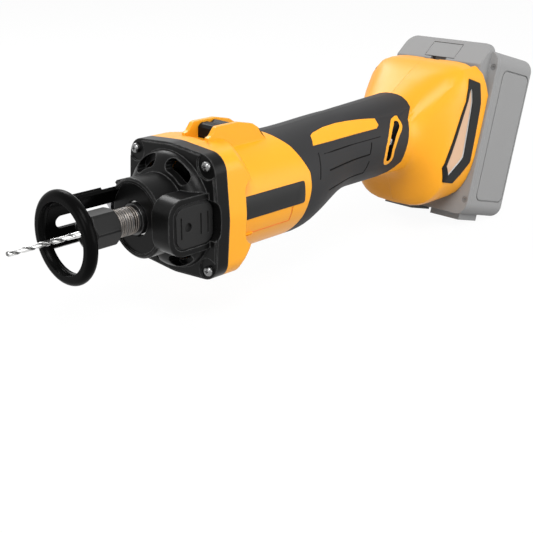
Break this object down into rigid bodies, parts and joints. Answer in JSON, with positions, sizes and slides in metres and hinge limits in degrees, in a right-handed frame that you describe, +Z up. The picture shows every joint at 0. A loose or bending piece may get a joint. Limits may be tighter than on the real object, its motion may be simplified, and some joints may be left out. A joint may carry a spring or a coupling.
{
  "type": "drywall cut out tool",
  "caption": "Cordless drywall cut out tool with an adjustable guide foot, spindle lock button, sliding top switch, straight rubber grip and a slide-on battery pack.",
  "frame": {"origin": "on the spindle's axis, in the plane of the guide foot's front face", "axes": "+X along the spindle to the rear, +Z up to the switch, -Y to the side with the lock button"},
  "size_m": [0.3765, 0.075, 0.1152],
  "materials": {
    "yellow_plastic": "satin",
    "black_metal": "satin",
    "cast_alloy": "satin",
    "steel": "satin",
    "bright_steel": "polished",
    "core_steel": "satin",
    "copper": "satin",
    "brass": "satin",
    "black_plastic": "satin",
    "grey_plastic": "satin",
    "grip_rubber": "matte",
    "beige_plastic": "matte",
    "pack_plastic": "matte",
    "board_green": "satin",
    "cell_wrap": "gloss"
  },
  "bodies": {
    "tool": {"front_cover": "cast_alloy", "cover_screws": "bright_steel", "front_bearing": "bright_steel", "bearing_clip": "steel", "motor_housing": "yellow_plastic", "stator_core": "core_steel", "stator_windings": "copper", "rear_bearing": "bright_steel", "rear_bearing_holder": "black_plastic", "switch_module": "black_plastic", "shell_left": "yellow_plastic", "shell_right": "yellow_plastic", "grip_left": "grip_rubber", "grip_right": "grip_rubber", "shell_screws": "steel", "control_board": "board_green", "board_parts": "grey_plastic", "side_bumper_left": "grip_rubber", "side_bumper_right": "grip_rubber", "bumper_insert_left": "beige_plastic", "bumper_insert_right": "beige_plastic", "terminal_block": "black_plastic", "terminal_blades": "brass", "lock_spring": "steel"},
    "spindle": {"spindle": "bright_steel", "collet": "steel", "lock_collar": "steel", "fan": "black_plastic", "rotor": "core_steel"},
    "nut": {"collet_nut": "black_metal"},
    "bit": {"cutting_bit": "bright_steel"},
    "guide": {"guide_foot": "black_metal"},
    "clamp": {"guide_clamp_screw": "steel"},
    "slider": {"switch_slider": "black_plastic", "switch_rod": "black_plastic"},
    "lock": {"lock_button": "grey_plastic", "lock_pin": "steel"},
    "pack": {"battery_case_front": "pack_plastic", "battery_case_rear": "pack_plastic", "battery_cells": "cell_wrap", "battery_board": "board_green", "battery_contacts": "brass", "battery_screws": "steel", "latch_spring": "steel"},
    "latch": {"latch_button": "pack_plastic"}
  },
  "joints": [
    {"name": "spindle_spin", "type": "hinge", "parent": "tool", "child": "spindle", "pos_m": [0.06, 0, 0], "axis": [1, 0, 0], "continuous": true},
    {"name": "nut_turn", "type": "hinge", "parent": "spindle", "child": "nut", "pos_m": [0.02, 0, 0], "axis": [1, 0, 0], "range_deg": [0, 90]},
    {"name": "bit_slide", "type": "slide", "parent": "spindle", "child": "bit", "axis": [-1, 0, 0], "range_m": [0, 0.02]},
    {"name": "guide_slide", "type": "slide", "parent": "tool", "child": "guide", "axis": [1, 0, 0], "range_m": [-0.002, 0.016]},
    {"name": "guide_screw_turn", "type": "hinge", "parent": "tool", "child": "clamp", "pos_m": [0.05, 0, 0], "axis": [0, 0.9962, 0.0872], "range_deg": [0, 180]},
    {"name": "switch_slide", "type": "slide", "parent": "tool", "child": "slider", "axis": [-1, 0, 0], "range_m": [0, 0.006]},
    {"name": "lock_press", "type": "slide", "parent": "tool", "child": "lock", "axis": [0, 1, 0], "range_m": [0, 0.003], "stiffness_N_per_m": 800, "springref_m": -0.002, "deforming": ["lock_spring"]},
    {"name": "battery_slide", "type": "slide", "parent": "tool", "child": "pack", "axis": [0.2588, 0, 0.9659], "range_m": [0, 0.06]},
    {"name": "latch_press", "type": "slide", "parent": "pack", "child": "latch", "axis": [0.9659, 0, -0.2588], "range_m": [0, 0.003], "stiffness_N_per_m": 800, "springref_m": -0.002, "deforming": ["latch_spring"]}
  ]
}
